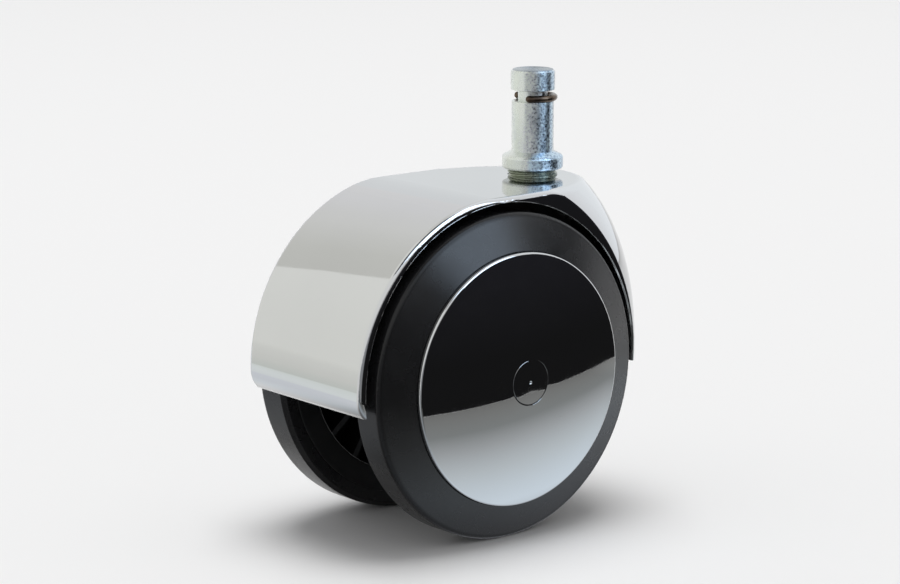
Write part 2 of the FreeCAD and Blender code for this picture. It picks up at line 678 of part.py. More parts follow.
def hub():
    """Wheel hub: boss, web, rim with key ring, cap collar and two rings of radial ribs."""
    body = turned([
        (WHEEL_BUSH_R, HUB_INNER_Y, MOULD_EDGE),
        (HUB_BOSS_R, HUB_INNER_Y, MOULD_EDGE),
        (HUB_BOSS_R, WEB_INNER_Y, 0),
        (RIM_BORE_R, WEB_INNER_Y, 0),
        (RIM_BORE_R, RIM_INNER_Y, MOULD_EDGE),
        (RIM_R, RIM_INNER_Y, MOULD_EDGE),
        *key_corners(True),
        (RIM_R, face_y(RIM_R, TYRE_FACE_T), 0),
        (CAP_R, face_y(CAP_R, TYRE_FACE_T), 0),
        (CAP_R, COLLAR_RING_Y, 0),
        *cap_seat_corners(),
        (HUB_BOSS_R, WEB_OUTER_Y, 0),
        (HUB_BOSS_R, HUB_BOSS_END_Y, MOULD_EDGE),
        (WHEEL_BUSH_R, HUB_BOSS_END_Y, MOULD_EDGE),
    ])
    return body.fuse(hub_ribs()).removeSplitter()


def cap_seat_corners():
    """The collar's bore that the cap's skirt snaps into, with a groove for the bead."""
    bore = CAP_SKIRT_R + SEAT_CLEARANCE
    return [
        (bore, COLLAR_RING_Y, MOULD_EDGE),
        (bore, CAP_BEAD_Y + 2 * CAP_BEAD, 0),
        (bore + CAP_BEAD, CAP_BEAD_Y, 0),
        (bore, CAP_BEAD_Y - 2 * CAP_BEAD, 0),
        (bore, WEB_OUTER_Y, 0),
    ]


def hub_ribs():
    """The hub's middle ring, and the radial ribs outside and inside it."""
    middle_r = MID_RING_R - MID_RING_T / 2
    top_y = WEB_INNER_Y + RIB_T / 2
    pieces = [ring(MID_RING_R - MID_RING_T, MID_RING_R, RIB_INNER_Y, top_y)]
    spans = (
        (OUTER_RIBS, middle_r, RIB_INNER_Y, RIM_BORE_R + RIB_T, RIM_INNER_Y),
        (INNER_RIBS, HUB_BOSS_R - RIB_T, RIB_INNER_Y, middle_r, RIB_INNER_Y),
    )
    for count, start_r, start_y, end_r, end_y in spans:
        side = -RIB_T / 2
        corners = ((start_r, start_y), (end_r, end_y), (end_r, top_y), (start_r, top_y))
        outline = [Vector(r, side, y) for r, y in corners]
        spoke = Part.Face(Part.makePolygon(outline + outline[:1])).extrude(Vector(0, RIB_T, 0))
        for i in range(count):
            copy = spoke.copy()
            copy.rotate(Vector(0, 0, 0), Vector(0, 0, 1), 360 * i / count)
            pieces.append(copy)
    return pieces


def tyre():
    """Soft tyre: flat tread, bevelled inner edge, round shoulder and coned outer face."""
    inner_y = RIM_INNER_Y + TYRE_INSET
    return turned([
        (RIM_R, inner_y, 0),
        (WHEEL_R - TYRE_BEVEL, inner_y, MOULD_EDGE),
        (WHEEL_R, inner_y + TYRE_BEVEL, MOULD_EDGE),
        (WHEEL_R, SHOULDER_Y, SHOULDER_ROUND),
        (CAP_R, CAP_SEAT_Y, MOULD_EDGE),
        (CAP_R, face_y(CAP_R, TYRE_FACE_T), 0),
        (RIM_R, face_y(RIM_R, TYRE_FACE_T), 0),
        *key_corners(False),
    ])


def cap():
    """Domed snap-in cap: thin shell, rounded edge, skirt with a bead, and a gate mark."""
    dome_r = (CAP_R ** 2 + CAP_CROWN_H ** 2) / (2 * CAP_CROWN_H)
    crown_y = CAP_EDGE_Y + CAP_CROWN_H
    centre = Vector(0, 0, crown_y - dome_r)
    height = CAP_EDGE_T + CAP_CROWN_H
    disc = Part.makeCylinder(CAP_R, height, Vector(0, 0, CAP_SEAT_Y))
    disc = disc.common(Part.makeSphere(dome_r, centre))
    near_edge = CAP_EDGE_T / 2
    rims = [e for e in disc.Edges if e.isClosed() and abs(e.BoundBox.ZMin - CAP_EDGE_Y) < near_edge]
    disc = disc.makeFillet(min(CAP_EDGE_ROUND, near_edge), rims)
    skirt_in = CAP_SKIRT_R - CAP_SKIRT_T
    skirt = turned([
        (skirt_in, CAP_SEAT_Y - CAP_SKIRT_LEN, MOULD_EDGE),
        (CAP_SKIRT_R, CAP_SEAT_Y - CAP_SKIRT_LEN, 0),
        (CAP_SKIRT_R + CAP_BEAD, CAP_BEAD_Y, 0),
        (CAP_SKIRT_R, CAP_BEAD_Y + 2 * CAP_BEAD, 0),
        (CAP_SKIRT_R, CAP_EDGE_Y, 0),
        (skirt_in, CAP_EDGE_Y, 0),
    ])
    hollow = Part.makeCylinder(skirt_in, height, Vector(0, 0, CAP_SEAT_Y))
    hollow = hollow.common(Part.makeSphere(dome_r - CAP_T, centre))
    ring_y = centre.z + math.sqrt(dome_r ** 2 - GATE_RING_R ** 2) - GATE_RING_D
    half_ring = GATE_RING_W / 2
    marks = [
        ring(GATE_RING_R - half_ring, GATE_RING_R + half_ring, ring_y, crown_y),
        Part.makeSphere(GATE_DIMPLE_R, Vector(0, 0, crown_y + GATE_DIMPLE_R / 2)),
    ]
    return disc.fuse(skirt).cut([hollow] + marks)


def wheel_bush():
    """Plain sleeve bearing pressed into the hub."""
    bore = AXLE_R + SHAFT_CLEARANCE
    return ring(bore, WHEEL_BUSH_R - FIT_CLEARANCE, HUB_INNER_Y, HUB_BOSS_END_Y)


def inner_washer():
    """Washer between the frame's axle boss and the hub."""
    return ring(AXLE_R + SHAFT_CLEARANCE, WASHER_R, AXLE_BOSS_HALF_W, AXLE_BOSS_HALF_W + WASHER_T)


def outer_washer():
    """Washer between the hub and the axle's clip."""
    return ring(AXLE_R + SHAFT_CLEARANCE, WASHER_R, OUTER_WASHER_Y, AXLE_CLIP_Y)


def axle_clip():
    """Clip in the axle's groove, outside the hub."""
    clip = retaining_clip(AXLE_R - AXLE_CLIP_GROOVE_DEPTH, AXLE_CLIP_R, AXLE_CLIP_T)
    clip.translate(Vector(0, 0, AXLE_CLIP_Y + AXLE_CLIP_T))
    return clip


CENTRE_PIECES = {
    "stem": stem,
    "grip_ring": grip_ring,
    "stem_washer": stem_washer,
    "stem_clip": stem_clip,
    "swivel_bush": swivel_bush,
    "lower_bush": lower_bush,
    "hood": hood,
    "frame": frame,
    "hood_screws": hood_screws,
    "axle": axle,
}
WHEEL_PIECES = {
    "hub": hub,
    "tyre": tyre,
    "cap": cap,
    "wheel_bush": wheel_bush,
    "inner_washer": inner_washer,
    "outer_washer": outer_washer,
    "axle_clip": axle_clip,
}


def main():
    """Write one STEP file for each piece."""
    os.makedirs("parts", exist_ok=True)
    pieces = {name: make() for name, make in CENTRE_PIECES.items()}
    for name, make in WHEEL_PIECES.items():
        piece = make()
        pieces[name + "_left"] = on_side(piece, 1)
        pieces[name + "_right"] = on_side(piece, -1)
    for name, shape in pieces.items():
        print(name, shape.isValid(), len(shape.Solids), round(shape.Volume, 1))
        shape.exportStep(f"parts/{name}.step")


main()
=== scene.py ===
"""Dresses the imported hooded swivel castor: finishes, fine forms, studio set and camera."""

import logging
import math
from dataclasses import dataclass, field
from enum import Enum, StrEnum
from typing import ClassVar, Sequence

import bpy
import numpy as np
from mathutils import Matrix, Vector

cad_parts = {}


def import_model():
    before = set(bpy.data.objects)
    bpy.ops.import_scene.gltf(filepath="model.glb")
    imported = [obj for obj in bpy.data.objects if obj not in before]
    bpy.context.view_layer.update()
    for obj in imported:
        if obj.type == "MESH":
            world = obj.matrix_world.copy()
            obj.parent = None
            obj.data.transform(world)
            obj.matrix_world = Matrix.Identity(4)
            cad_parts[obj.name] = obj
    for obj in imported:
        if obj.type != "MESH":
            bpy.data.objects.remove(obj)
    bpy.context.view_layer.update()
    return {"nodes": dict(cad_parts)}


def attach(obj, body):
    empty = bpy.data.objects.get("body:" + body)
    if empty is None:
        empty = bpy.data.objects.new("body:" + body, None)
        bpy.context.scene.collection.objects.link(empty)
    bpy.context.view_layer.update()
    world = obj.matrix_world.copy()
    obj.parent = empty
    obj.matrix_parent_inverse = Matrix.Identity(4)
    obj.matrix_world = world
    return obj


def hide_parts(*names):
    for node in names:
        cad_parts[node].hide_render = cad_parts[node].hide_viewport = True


LOG = logging.getLogger("castor")
MM = 0.001
AXLE_CENTRE = (-0.0278, 0.0, -0.0495)


class Side(StrEnum):
    """The castor's two sides, as its nodes and bodies name them."""

    LEFT = "left"
    RIGHT = "right"

    @property
    def sign(self) -> int:
        """+1 on the +Y side and -1 on the -Y side."""
        return 1 if self is Side.LEFT else -1


class Pattern(Enum):
    """The procedural textures that finishes are built from."""

    NOISE = "ShaderNodeTexNoise"
    RINGS = "ShaderNodeTexWave"
    CELLS = "ShaderNodeTexVoronoi"


class MaterialSheet:
    """One node material with a Principled shader, and short calls to add patterns to it."""

    def __init__(self, name: str) -> None:
        """Start an empty material.

        Args:
            name: the material's name.
        """
        self.material = bpy.data.materials.new(name)
        self.material.use_nodes = True
        self.nodes = self.material.node_tree.nodes
        self.links = self.material.node_tree.links
        self.shader = self.nodes["Principled BSDF"]
        self.place = self.nodes.new("ShaderNodeTexCoord")

    def set(self, **values: object) -> None:
        """Set uniform values on the shader's own sockets; underscores stand for spaces.

        Args:
            values: socket names and their values.
        """
        for name, value in values.items():
            self.shader.inputs[name.replace("_", " ")].default_value = value

    def mapped(self, centre: Sequence[float] = (0, 0, 0), turn: Sequence[float] = (0, 0, 0),
               scale: Sequence[float] = (1, 1, 1)) -> bpy.types.NodeSocket:
        """Object coordinates, centred, turned and stretched.

        Args:
            centre: the point in metres that becomes the pattern's origin.
            turn: rotation in degrees about X, Y and Z.
            scale: stretch along each axis.

        Returns:
            The socket with the mapped place.
        """
        moved = self.nodes.new("ShaderNodeVectorMath")
        moved.operation = "SUBTRACT"
        moved.inputs[1].default_value = centre
        self.links.new(self.place.outputs["Object"], moved.inputs[0])
        mapping = self.nodes.new("ShaderNodeMapping")
        mapping.inputs["Rotation"].default_value = [math.radians(a) for a in turn]
        mapping.inputs["Scale"].default_value = scale
        self.links.new(moved.outputs[0], mapping.inputs["Vector"])
        return mapping.outputs["Vector"]

    def noise(self, size: float, detail: float = 3.0, place: bpy.types.NodeSocket | None = None,
              roughness: float = 0.5) -> bpy.types.NodeSocket:
        """Noise with features of about a given size.

        Args:
            size: feature size in metres.
            detail: octaves of finer noise.
            place: mapped coordinates, or None for plain Object coordinates.
            roughness: strength of the finer octaves.

        Returns:
            The socket with the noise, from 0 to 1.
        """
        texture = self.nodes.new(Pattern.NOISE.value)
        texture.inputs["Scale"].default_value = 1 / size
        texture.inputs["Detail"].default_value = detail
        texture.inputs["Roughness"].default_value = roughness
        self.links.new(place or self.place.outputs["Object"], texture.inputs["Vector"])
        return texture.outputs["Fac"]

    def rings(self, pitch: float, axis: str, place: bpy.types.NodeSocket | None = None,
              distortion: float = 0.0) -> bpy.types.NodeSocket:
        """Turned lines that repeat along an axis.

        Args:
            pitch: spacing in metres.
            axis: X, Y or Z.
            place: mapped coordinates, or None for plain Object coordinates.
            distortion: how far noise bends the lines.

        Returns:
            The socket with the wave, from 0 to 1.
        """
        texture = self.nodes.new(Pattern.RINGS.value)
        texture.wave_type = "BANDS"
        texture.bands_direction = axis
        texture.inputs["Scale"].default_value = math.pi / (10 * pitch)
        texture.inputs["Distortion"].default_value = distortion
        texture.inputs["Detail"].default_value = 2.0
        self.links.new(place or self.place.outputs["Object"], texture.inputs["Vector"])
        return texture.outputs["Fac"]

    def specks(self, size: float, share: float) -> bpy.types.NodeSocket:
        """Small separate round specks.

        Args:
            size: spacing of the cells in metres.
            share: radius of a speck as a share of its cell.

        Returns:
            The socket that is 1 on a speck and 0 elsewhere.
        """
        texture = self.nodes.new(Pattern.CELLS.value)
        texture.inputs["Scale"].default_value = 1 / size
        self.links.new(self.place.outputs["Object"], texture.inputs["Vector"])
        return self.remapped(texture.outputs["Distance"], share, share * 0.6, 0.0, 1.0)

    def axis_value(self, axis: str,
                   place: bpy.types.NodeSocket | None = None) -> bpy.types.NodeSocket:
        """One coordinate of a place, in metres.

        Args:
            axis: X, Y or Z.
            place: mapped coordinates, or None for plain Object coordinates.

        Returns:
            The coordinate's socket.
        """
        node = self.nodes.new("ShaderNodeSeparateXYZ")
        self.links.new(place or self.place.outputs["Object"], node.inputs[0])
        return node.outputs[axis]

    def distance(self, place: bpy.types.NodeSocket) -> bpy.types.NodeSocket:
        """How far a mapped place is from its pattern's origin, in the mapping's units.

        Args:
            place: mapped coordinates.

        Returns:
            The distance's socket.
        """
        node = self.nodes.new("ShaderNodeVectorMath")
        node.operation = "LENGTH"
        self.links.new(place, node.inputs[0])
        return node.outputs["Value"]

    def remapped(self, value: bpy.types.NodeSocket, low: float, high: float, to_low: float,
                 to_high: float) -> bpy.types.NodeSocket:
        """Map a range of a value to another range, held at both ends.

        Args:
            value: the socket to map.
            low: value that becomes to_low.
            high: value that becomes to_high.
            to_low: result at low.
            to_high: result at high.

        Returns:
            The mapped socket.
        """
        node = self.nodes.new("ShaderNodeMapRange")
        for socket, number in zip(node.inputs[1:5], (low, high, to_low, to_high)):
            socket.default_value = number
        self.links.new(value, node.inputs[0])
        return node.outputs[0]

    def combined(self, operation: str, a: bpy.types.NodeSocket,
                 b: bpy.types.NodeSocket | float) -> bpy.types.NodeSocket:
        """One maths operation on two values.

        Args:
            operation: Blender's name for it, such as ADD.
            a: first value.
            b: second value, a socket or a number.

        Returns:
            The result's socket.
        """
        node = self.nodes.new("ShaderNodeMath")
        node.operation = operation
        self.links.new(a, node.inputs[0])
        if isinstance(b, (int, float)):
            node.inputs[1].default_value = b
        else:
            self.links.new(b, node.inputs[1])
        return node.outputs[0]

    def multiplied(self, colour: bpy.types.NodeSocket,
                   by: bpy.types.NodeSocket) -> bpy.types.NodeSocket:
        """One colour times another, held to 1 in each channel.

        Args:
            colour: first colour.
            by: second colour.

        Returns:
            The product's socket.
        """
        product = self.nodes.new("ShaderNodeVectorMath")
        product.operation = "MULTIPLY"
        self.links.new(colour, product.inputs[0])
        self.links.new(by, product.inputs[1])
        held = self.nodes.new("ShaderNodeVectorMath")
        held.operation = "MINIMUM"
        self.links.new(product.outputs[0], held.inputs[0])
        held.inputs[1].default_value = (1.0, 1.0, 1.0)
        return held.outputs[0]

    def colour_ramp(self, value: bpy.types.NodeSocket,
                    stops: Sequence[tuple[float, Sequence[float]]]) -> bpy.types.NodeSocket:
        """Colours along a value.

        Args:
            value: the socket that picks the colour.
            stops: pairs of position and linear colour.

        Returns:
            The colour socket.
        """
        node = self.nodes.new("ShaderNodeValToRGB")
        ramp = node.color_ramp
        while len(ramp.elements) < len(stops):
            ramp.elements.new(0.5)
        for element, (position, colour) in zip(ramp.elements, stops):
            element.position = position
            element.color = (*colour, 1.0)
        self.links.new(value, node.inputs[0])
        return node.outputs["Color"]

    def feed(self, socket: str, value: bpy.types.NodeSocket) -> None:
        """Link a varying value to a socket of the shader.

        Args:
            socket: the shader's socket.
            value: what drives it.
        """
        self.links.new(value, self.shader.inputs[socket])

    def bump(self, layers: Sequence[tuple[bpy.types.NodeSocket, float]]) -> None:
        """Raise the surface by several height patterns, one after another.

        Args:
            layers: pairs of height socket (0 to 1) and full height in metres.
        """
        last = None
        for height, distance in layers:
            node = self.nodes.new("ShaderNodeBump")
            node.inputs["Distance"].default_value = distance
            self.links.new(height, node.inputs["Height"])
            if last is not None:
                self.links.new(last, node.inputs["Normal"])
            last = node.outputs["Normal"]
        self.links.new(last, self.shader.inputs["Normal"])


@dataclass(frozen=True)
class ChromePlate:
    """Bright chrome over a moulding or casting, with soft waves and a few specks in the plating."""

    name: str
    tint: tuple[float, float, float] = (0.615, 0.62, 0.625)
    roughness: float = 0.035
    wave_size: float = 0.022
    wave_height: float = 0.000012
    speck_spacing: float = 0.009
    speck_share: float = 0.018
    speck_height: float = 0.00008
    haze_size: float = 0.03
    haze: float = 0.015
    wipe_size: float = 0.004

    def make(self) -> bpy.types.Material:
        """Build the material: metal with faint haze, long waves and rare specks.

        Returns:
            The material.
        """
        sheet = MaterialSheet(self.name)
        sheet.set(Metallic=1.0)
        haze = sheet.noise(self.haze_size, 4.0)
        sheet.feed("Base Color", sheet.colour_ramp(haze, [
            (0.3, [c * (1 - self.haze) for c in self.tint]),
            (0.7, [c * (1 + self.haze) for c in self.tint]),
        ]))
        wiped = sheet.noise(self.wipe_size, 5.0)
        smooth, dull = self.roughness * 0.7, self.roughness * 1.5
        sheet.feed("Roughness", sheet.remapped(wiped, 0.35, 0.75, smooth, dull))
        waves = sheet.noise(self.wave_size, 1.0)
        specks = sheet.specks(self.speck_spacing, self.speck_share)
        sheet.bump([(waves, self.wave_height), (specks, self.speck_height)])
        return sheet.material


@dataclass(frozen=True)
class ZincPlate:
    """Bright zinc plate over turned steel: fine lines, a mottled cast, and painted shade and
    reflection.
    """

    name: str
    tint: tuple[float, float, float] = (1.0, 1.0, 1.0)
    roughness: float = 0.3
    line_pitch: float = 0.0003
    line_height: float = 0.000004
    line_stretch: float = 0.85
    grain_size: float = 0.00055
    grain_height: float = 0.000018
    patch_size: float = 0.006
    patch_share: float = 0.4
    middle_grey: float = 0.56
    # Painted shade and reflection: one side is painted darker and more mottled.
    shaded_side_degrees: float = 40.0
    shaded_side_span: tuple[float, float] = (-0.003, 0.0015)
    bloom: tuple[float, float] = (0.2, 1.4)
    shaded_side_darkening: float = 0.2
    # Painted shade: the head's top face is painted darker.
    shaded_top_z: float = 0.0203
    painted_top_shade: float = 0.36
    # Painted reflection: one side is painted bluer, as the blue soft box shows in it.
    reflection_blue_degrees: float = 87.0
    reflection_blue_span: tuple[float, float] = (0.0043, 0.0051)
    blue: tuple[float, float, float] = (0.86, 1.02, 1.17)

    def make(self) -> bpy.types.Material:
        """Build the material: mottled metal colour, uneven gloss, crystal grain and turned lines.

        The turned lines stretch what the plate mirrors along the axis. One side is painted darker,
        more mottled and bluer, and the top face darker: painted shade and a painted reflection.

        Returns:
            The material.
        """
        sheet = MaterialSheet(self.name)
        sheet.set(Metallic=1.0, Anisotropic=self.line_stretch, Anisotropic_Rotation=0.25)
        patches = sheet.noise(self.patch_size, 3.0, sheet.mapped(scale=(1, 1, 0.7)), 0.6)
        grain = sheet.noise(self.grain_size, 3.0)
        # Painted shade and reflection: towards one side the grain shows stronger and the colour
        # darkens.
        across = sheet.axis_value("X", sheet.mapped(turn=(0, 0, self.shaded_side_degrees)))
        bloom = sheet.remapped(across, *self.shaded_side_span, *self.bloom)
        coarse = sheet.combined("SUBTRACT", patches, 0.5)
        coarse = sheet.combined("MULTIPLY", coarse, self.patch_share)
        fine = sheet.combined("MULTIPLY", sheet.combined("SUBTRACT", grain, 0.5), bloom)
        mottle = sheet.combined("ADD", sheet.combined("ADD", coarse, fine), self.middle_grey)
        # Painted shade: the head's top face and the shaded side are darkened.
        end = self.shaded_top_z
        top_shade = sheet.remapped(sheet.axis_value("Z"), end - 0.0001, end, 0, self.painted_top_shade)
        painted_side_shade = sheet.remapped(bloom, *self.bloom, 0.0, self.shaded_side_darkening)
        mottle = sheet.combined("SUBTRACT", sheet.combined("SUBTRACT", mottle, top_shade), painted_side_shade)
        greys = [
            (0.08, (0.24, 0.28, 0.32)),
            (0.28, (0.43, 0.46, 0.48)),
            (0.44, (0.60, 0.62, 0.64)),
            (0.54, (0.70, 0.74, 0.70)),
            (0.66, (0.78, 0.80, 0.75)),
        ]
        tinted = [(place, [c * t for c, t in zip(grey, self.tint)]) for place, grey in greys]
        # Painted reflection: one side is made bluer, as the blue soft box shows in it.
        side = sheet.axis_value("X", sheet.mapped(turn=(0, 0, self.reflection_blue_degrees)))
        painted_blue_reflection = sheet.colour_ramp(sheet.remapped(side, *self.reflection_blue_span, 0, 1), [
            (0.0, (1.0, 1.0, 1.0)),
            (1.0, self.blue),
        ])
        sheet.feed("Base Color", sheet.multiplied(sheet.colour_ramp(mottle, tinted), painted_blue_reflection))
        smooth, dull = self.roughness * 0.75, self.roughness * 1.3
        sheet.feed("Roughness", sheet.remapped(grain, 0.3, 0.7, smooth, dull))
        lines = sheet.rings(self.line_pitch, "Z", distortion=0.6)
        sheet.bump([(lines, self.line_height), (grain, self.grain_height)])
        return sheet.material


@dataclass(frozen=True)
class SpringSteel:
    """Dark oiled spring steel, bronze-brown where light catches it."""

    name: str

    def make(self) -> bpy.types.Material:
        """Build the material: dark brown metal with drawn grain.

        Returns:
            The material.
        """
        sheet = MaterialSheet(self.name)
        sheet.set(Metallic=1.0)
        patches = sheet.noise(0.003, 4.0)
        sheet.feed("Base Color", sheet.colour_ramp(patches, [
            (0.3, (0.042, 0.030, 0.023)),
            (0.7, (0.160, 0.118, 0.086)),
        ]))
        grain = sheet.noise(0.0007, 4.0)
        sheet.feed("Roughness", sheet.remapped(grain, 0.3, 0.7, 0.16, 0.28))
        sheet.bump([(grain, 0.000006)])
        return sheet.material


@dataclass(frozen=True)
class DrawnSteel:
    """Bright drawn steel with faint lengthwise lines."""

    name: str

    def make(self) -> bpy.types.Material:
        """Build the material: grey metal with lines along Y.

        Returns:
            The material.
        """
        sheet = MaterialSheet(self.name)
        sheet.set(Metallic=1.0)
        streaks = sheet.noise(0.001, 4.0, sheet.mapped(scale=(1, 0.05, 1)))
        sheet.feed("Base Color", sheet.colour_ramp(streaks, [
            (0.3, (0.46, 0.46, 0.47)),
            (0.7, (0.62, 0.62, 0.62)),
        ]))
        sheet.feed("Roughness", sheet.remapped(streaks, 0.3, 0.7, 0.2, 0.34))
        sheet.bump([(streaks, 0.000004)])
        return sheet.material


@dataclass(frozen=True)
class BearingPlastic:
    """Natural white bearing plastic, smooth with a faint flow pattern."""

    name: str

    def make(self) -> bpy.types.Material:
        """Build the material: warm white with slight subsurface softness.

        Returns:
            The material.
        """
        sheet = MaterialSheet(self.name)
        sheet.set(Subsurface_Weight=0.08, Subsurface_Scale=0.002)
        flow = sheet.noise(0.006, 3.0)
        sheet.feed("Base Color", sheet.colour_ramp(flow, [
            (0.3, (0.71, 0.69, 0.62)),
            (0.7, (0.80, 0.78, 0.72)),
        ]))
        sheet.feed("Roughness", sheet.remapped(flow, 0.3, 0.7, 0.36, 0.48))
        sheet.bump([(sheet.noise(0.0006, 3.0), 0.000006)])
        return sheet.material


@dataclass(frozen=True)
class BlackMoulding:
    """Black moulded plastic or rubber: dark body, uneven satin gloss and a fine skin."""

    name: str
    dark: float
    light: float
    roughness: float
    skin_size: float
    skin_height: float
    specular: float = 0.5
    dull_beyond_r: float = 0.0
    dull_blend: float = 0.0006
    dull_share: float = 0.55

    def make(self) -> bpy.types.Material:
        """Build the material: near-black with slow colour drift, gloss patches and skin grain.

        With dull_beyond_r set, the surface farther than that from the axle shines less: the tread.

        Returns:
            The material.
        """
        sheet = MaterialSheet(self.name)
        sheet.set(**{"Specular IOR Level": self.specular})
        if self.dull_beyond_r:
            from_axle = sheet.distance(sheet.mapped(centre=AXLE_CENTRE, scale=(1, 0, 1)))
            start, end = self.dull_beyond_r, self.dull_beyond_r + self.dull_blend
            dull = self.specular * self.dull_share
            shine = sheet.remapped(from_axle, start, end, self.specular, dull)
            sheet.feed("Specular IOR Level", shine)
        drift = sheet.noise(0.02, 4.0)
        dark, light = self.dark, self.light
        sheet.feed("Base Color", sheet.colour_ramp(drift, [
            (0.3, (dark, dark, dark * 1.06)),
            (0.7, (light, light, light * 1.08)),
        ]))
        patches = sheet.noise(0.007, 5.0)
        low, high = self.roughness * 0.9, self.roughness * 1.15
        sheet.feed("Roughness", sheet.remapped(patches, 0.3, 0.7, low, high))
        sheet.bump([(sheet.noise(self.skin_size, 3.0), self.skin_height)])
        return sheet.material


class FinishShop:
    """Makes each finish once and gives it to the nodes and pieces of its slot."""

    FINISHES: ClassVar[dict[str, object]] = {
        "zinc_steel": ZincPlate("bright_zinc_plate"),
        # The olive plate carries a fainter painted blue reflection.
        "olive_zinc": ZincPlate("olive_zinc_plate", tint=(0.39, 0.41, 0.33),
                                blue=(0.9, 0.95, 1.0)),
        "dark_spring_steel": SpringSteel("oiled_spring_steel"),
        "axle_steel": DrawnSteel("drawn_axle_steel"),
        "white_bearing_plastic": BearingPlastic("bearing_plastic"),
        "hood_chrome": ChromePlate("hood_chrome_plate"),
        "cap_chrome": ChromePlate("cap_chrome_plate", wave_size=0.014, wave_height=0.00001,
                                  speck_spacing=0.013, speck_height=0.00001),
        "black_nylon": BlackMoulding("black_nylon_moulding", dark=0.0035, light=0.0055,
                                     roughness=0.42, skin_size=0.0005, skin_height=0.000012,
                                     specular=0.35),
        "gloss_nylon": BlackMoulding("gloss_nylon_edge", dark=0.005, light=0.008, roughness=0.12,
                                     skin_size=0.0005, skin_height=0.000004, specular=0.8),
        "tyre_black": BlackMoulding("satin_black_tyre", dark=0.0075, light=0.0105, roughness=0.26,
                                    skin_size=0.0004, skin_height=0.000004,
                                    dull_beyond_r=0.0386),
    }

    def __init__(self) -> None:
        """Make every finish."""
        self.made = {slot: finish.make() for slot, finish in self.FINISHES.items()}

    def dress(self, piece: bpy.types.Object, finish: str) -> None:
        """Give a piece one finish on all its faces.

        Args:
            piece: a CAD node's object or a new piece.
            finish: a name in FINISHES, most of them the record's material slots.
        """
        piece.data.materials.clear()
        piece.data.materials.append(self.made[finish])
        LOG.info("%s finished as %s", piece.name, finish)

    def dress_nodes(self, nodes: dict[str, bpy.types.Object], slots: dict[str, str]) -> None:
        """Give several CAD nodes their finishes.

        Args:
            nodes: the CAD nodes by name.
            slots: the finish of each node to dress.
        """
        for node, slot in slots.items():
            self.dress(nodes[node], slot)


def grid_piece(name: str, points: np.ndarray, closed: tuple[bool, bool]) -> bpy.types.Object:
    """A smooth mesh from a grid of points; each cell between neighbours becomes a face.

    Args:
        name: the object's name.
        points: array of rows x columns x 3, in metres.
        closed: whether the rows and the columns run round to the first one again.

    Returns:
        The linked object, at the origin.
    """
    rows, columns = points.shape[:2]
    row = np.arange(rows if closed[0] else rows - 1)[:, None]
    column = np.arange(columns if closed[1] else columns - 1)[None, :]
    next_row, next_column = (row + 1) % rows, (column + 1) % columns
    corners = np.stack([
        row * columns + column,
        row * columns + next_column,
        next_row * columns + next_column,
        next_row * columns + column,
    ], axis=-1).reshape(-1, 4)
    mesh = bpy.data.meshes.new(name)
    mesh.from_pydata(points.reshape(-1, 3).tolist(), [], corners.tolist())
    mesh.polygons.foreach_set("use_smooth", np.ones(len(corners), bool))
    mesh.update()
    piece = bpy.data.objects.new(name, mesh)
    bpy.context.scene.collection.objects.link(piece)
    return piece


def shades(value: np.ndarray, stops: Sequence[tuple[float, Sequence[float]]]) -> np.ndarray:
    """Linear colours along a value, held beyond the first and the last stop.

    Args:
        value: array of any shape.
        stops: pairs of value, rising, and colour.

    Returns:
        Array of the value's shape with one more axis for red, green and blue.
    """
    places = [place for place, _ in stops]
    channels = [np.interp(value, places, [colour[i] for _, colour in stops]) for i in range(3)]
    return np.stack(channels, axis=-1)


def along(value: np.ndarray, stops: Sequence[tuple[float, float]]) -> np.ndarray:
    """Numbers along a value, held beyond the first and the last stop.

    Args:
        value: array of any shape.
        stops: pairs of value, rising, and number.

    Returns:
        Array of the value's shape.
    """
    places, numbers = zip(*stops)
    return np.interp(value, places, numbers)


@dataclass
class ThreadedBush:
    """The steel bush under the stem's collar, with a real helical thread on its outside."""

    crest_r: float = 6.2
    root_r: float = 5.75
    bore_r: float = 4.55
    top_z: float = -4.4
    bottom_z: float = -18.0
    pitch: float = 1.25
    edge: float = 0.25
    segments: int = 96
    rows_per_turn: int = 10

    def make(self) -> bpy.types.Object:
        """Build the bush.

        The outside is r(angle, z) = root + (crest - root) * f(z / pitch - angle / turn), where f
        rises and falls along a rounded triangle, and it runs out into a chamfer at both ends.

        Returns:
            The bush as one closed surface.
        """
        angle = np.linspace(0, 2 * math.pi, self.segments, endpoint=False)
        count = int((self.top_z - self.bottom_z) / self.pitch * self.rows_per_turn)
        height = np.linspace(self.bottom_z, self.top_z, count)
        turn = (height[:, None] / self.pitch - angle[None, :] / (2 * math.pi)) % 1.0
        ridge = 0.5 - 0.5 * np.cos(2 * math.pi * turn)
        ridge = np.clip(1.25 * ridge - 0.1, 0, 1)
        radius = self.root_r + (self.crest_r - self.root_r) * ridge
        near_end = np.minimum(height - self.bottom_z, self.top_z - height)[:, None]
        limit = self.root_r - self.edge + near_end
        radius = np.minimum(radius, np.maximum(limit, self.root_r - self.edge))
        ring = np.ones((1, self.segments))
        radii = np.vstack([ring * self.bore_r, radius, ring * self.bore_r])
        heights = np.concatenate([[self.bottom_z], height, [self.top_z]])[:, None] * ring
        points = np.stack([radii * np.cos(angle), radii * np.sin(angle), heights], axis=-1) * MM
        return grid_piece("threaded_bush", points, (True, True))


